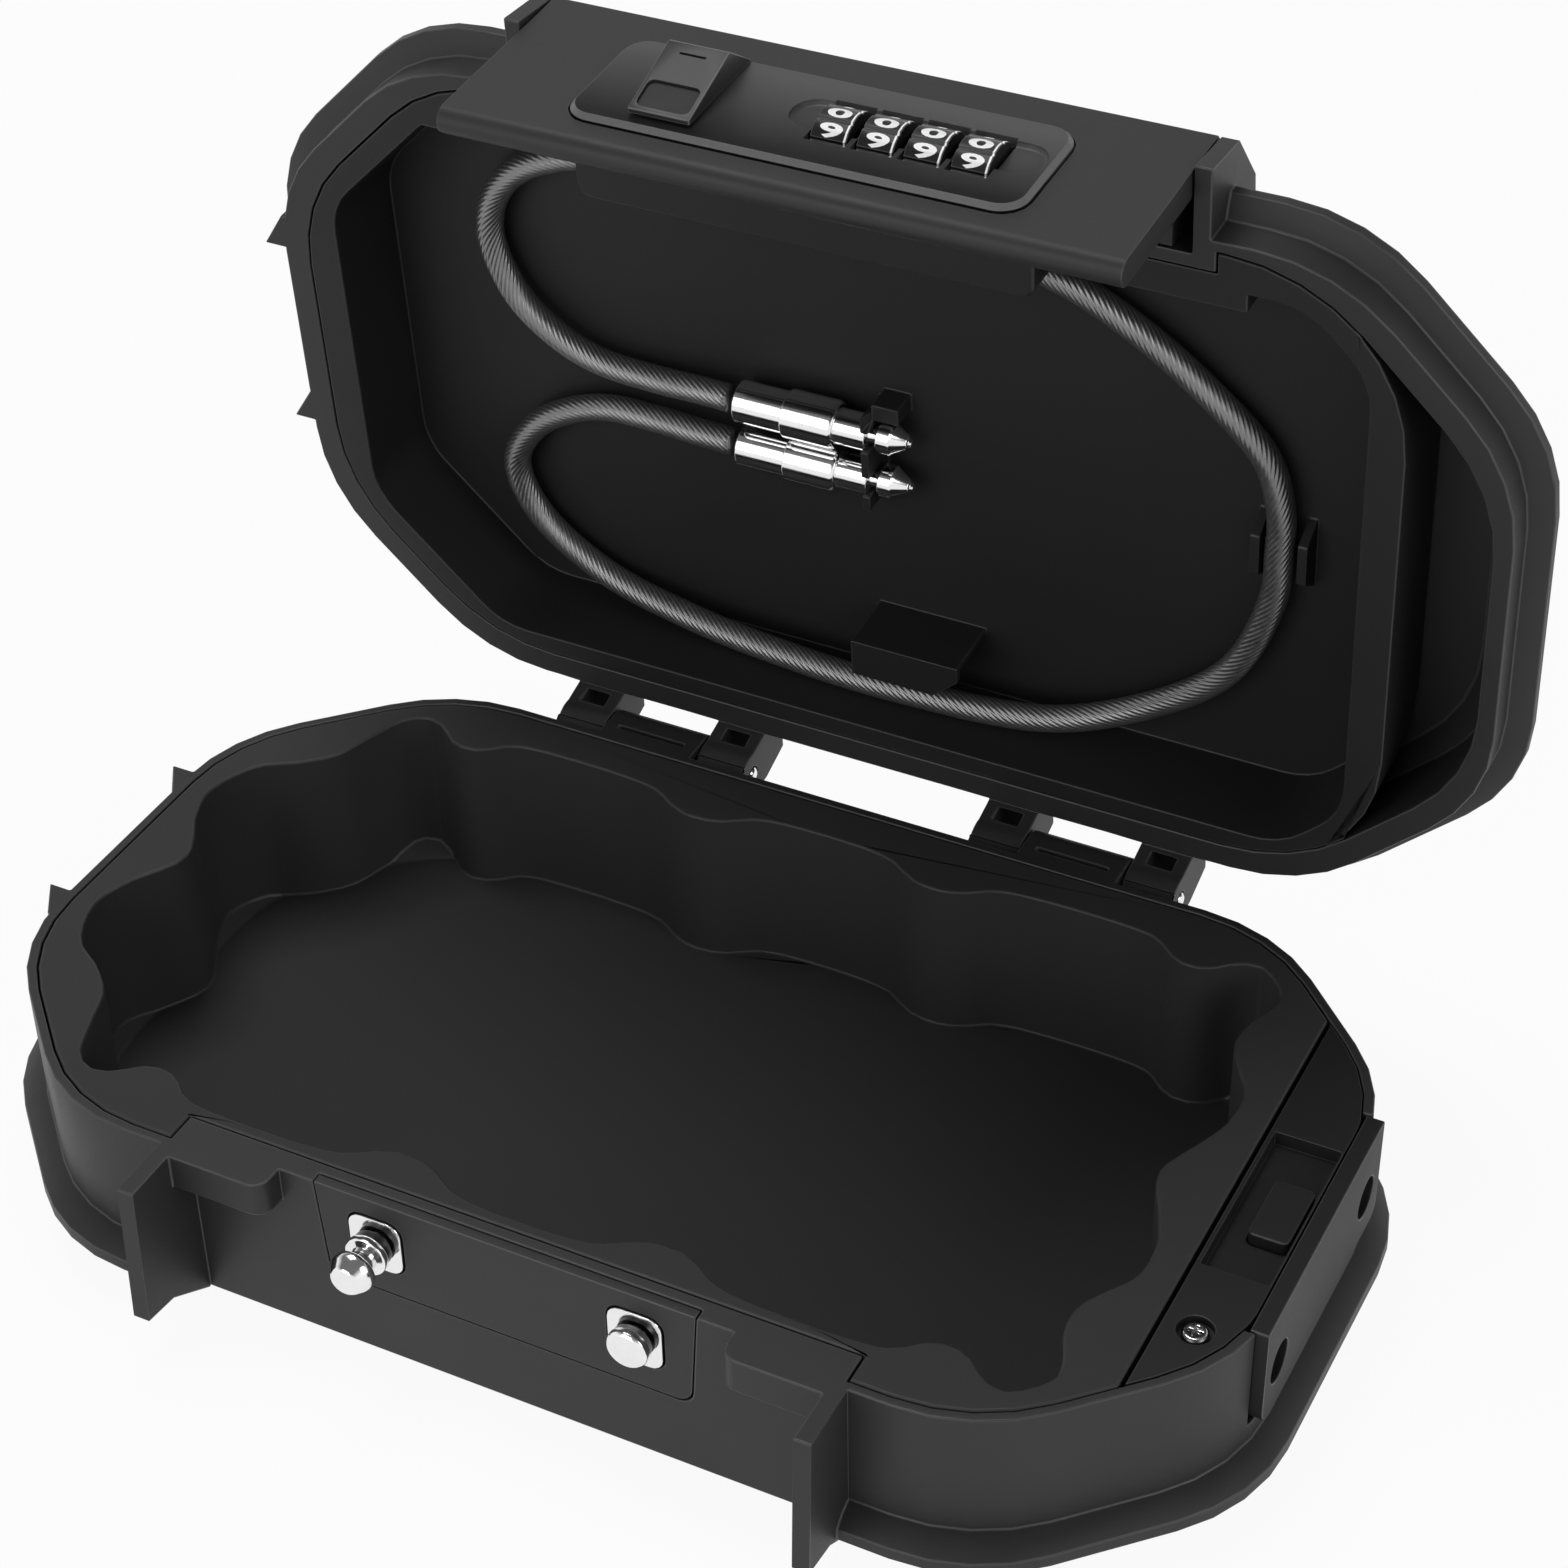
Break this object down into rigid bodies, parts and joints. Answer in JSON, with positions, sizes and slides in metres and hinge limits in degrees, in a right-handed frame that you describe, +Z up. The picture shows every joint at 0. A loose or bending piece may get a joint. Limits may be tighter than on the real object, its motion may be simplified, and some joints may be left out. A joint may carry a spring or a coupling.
{
  "type": "portable lock box",
  "caption": "Eight-sided portable safe with a hinged lid, combination dials, a slide latch, a scalloped liner and a steel tether cable stored in the lid.",
  "frame": {"origin": "centre of the flat underside of the base", "axes": "+X along the box toward its cable sockets, +Y toward the hinges, +Z up"},
  "size_m": [0.2491, 0.1812, 0.1934],
  "materials": {
    "wall_black": "satin moulded plastic",
    "liner_black": "matt",
    "tray_black": "matt",
    "cover_black": "satin",
    "dial_black": "semi-gloss with white digits",
    "coated_cable": "clear coat over stranded steel",
    "bright_steel": "polished",
    "dull_steel": "plain"
  },
  "bodies": {
    "base": {"base_shell": "wall_black", "base_liner": "liner_black", "strike_plate": "wall_black", "stud_washer_left": "bright_steel", "stud_washer_right": "bright_steel", "stud_left": "bright_steel", "stud_right": "bright_steel", "cable_lock_cover": "cover_black", "cover_screw": "dull_steel", "socket_plate": "wall_black", "cable_lock_body": "tray_black", "button_spring": "dull_steel", "hinge_pin_left": "bright_steel", "hinge_pin_right": "bright_steel"},
    "release": {"release_button": "cover_black", "cable_catch_plate": "dull_steel"},
    "lid": {"lid_shell": "wall_black", "lid_tray": "tray_black", "lock_housing": "wall_black", "lock_panel": "cover_black", "lock_back_cover": "tray_black", "inner_lock_cover": "tray_black", "dial_spindle": "dull_steel", "dial_detent_spring": "dull_steel", "tether_cable": "coated_cable", "cable_plug_1": "bright_steel", "cable_plug_2": "bright_steel", "back_cover_screw_1": "dull_steel", "back_cover_screw_2": "dull_steel", "back_cover_screw_3": "dull_steel", "back_cover_screw_4": "dull_steel"},
    "slider": {"slide_button": "wall_black", "slide_carrier": "dull_steel"},
    "latch": {"latch_plate": "dull_steel"},
    "dial_1": {"dial_1": "dial_black"},
    "dial_2": {"dial_2": "dial_black"},
    "dial_3": {"dial_3": "dial_black"},
    "dial_4": {"dial_4": "dial_black"}
  },
  "joints": [
    {"name": "lid_hinge", "type": "hinge", "parent": "base", "child": "lid", "pos_m": [0, 0.0741, 0.0329], "axis": [1, 0, 0], "range_deg": [0, 85.6]},
    {"name": "button_slide", "type": "slide", "parent": "lid", "child": "slider", "axis": [0, 0.9971, 0.0767], "range_m": [0, 0.004], "stiffness_N_per_m": 150, "springref_m": -0.002},
    {"name": "latch_slide", "type": "slide", "parent": "lid", "child": "latch", "axis": [-1, 0, 0], "range_m": [0, 0.004]},
    {"name": "release_press", "type": "slide", "parent": "base", "child": "release", "axis": [0, 0, -1], "range_m": [0, 0.003], "stiffness_N_per_m": 250, "springref_m": -0.002, "deforming": ["button_spring"]},
    {"name": "dial_1_turn", "type": "hinge", "parent": "lid", "child": "dial_1", "pos_m": [0.004, 0.05865, 0.18286], "axis": [1, 0, 0], "continuous": true},
    {"name": "dial_2_turn", "type": "hinge", "parent": "lid", "child": "dial_2", "pos_m": [0.0124, 0.05865, 0.18286], "axis": [1, 0, 0], "continuous": true},
    {"name": "dial_3_turn", "type": "hinge", "parent": "lid", "child": "dial_3", "pos_m": [0.0208, 0.05865, 0.18286], "axis": [1, 0, 0], "continuous": true},
    {"name": "dial_4_turn", "type": "hinge", "parent": "lid", "child": "dial_4", "pos_m": [0.0292, 0.05865, 0.18286], "axis": [1, 0, 0], "continuous": true}
  ],
  "couplings": [
    {"joint": "latch_slide", "follows": "button_slide", "ratio": 1}
  ]
}
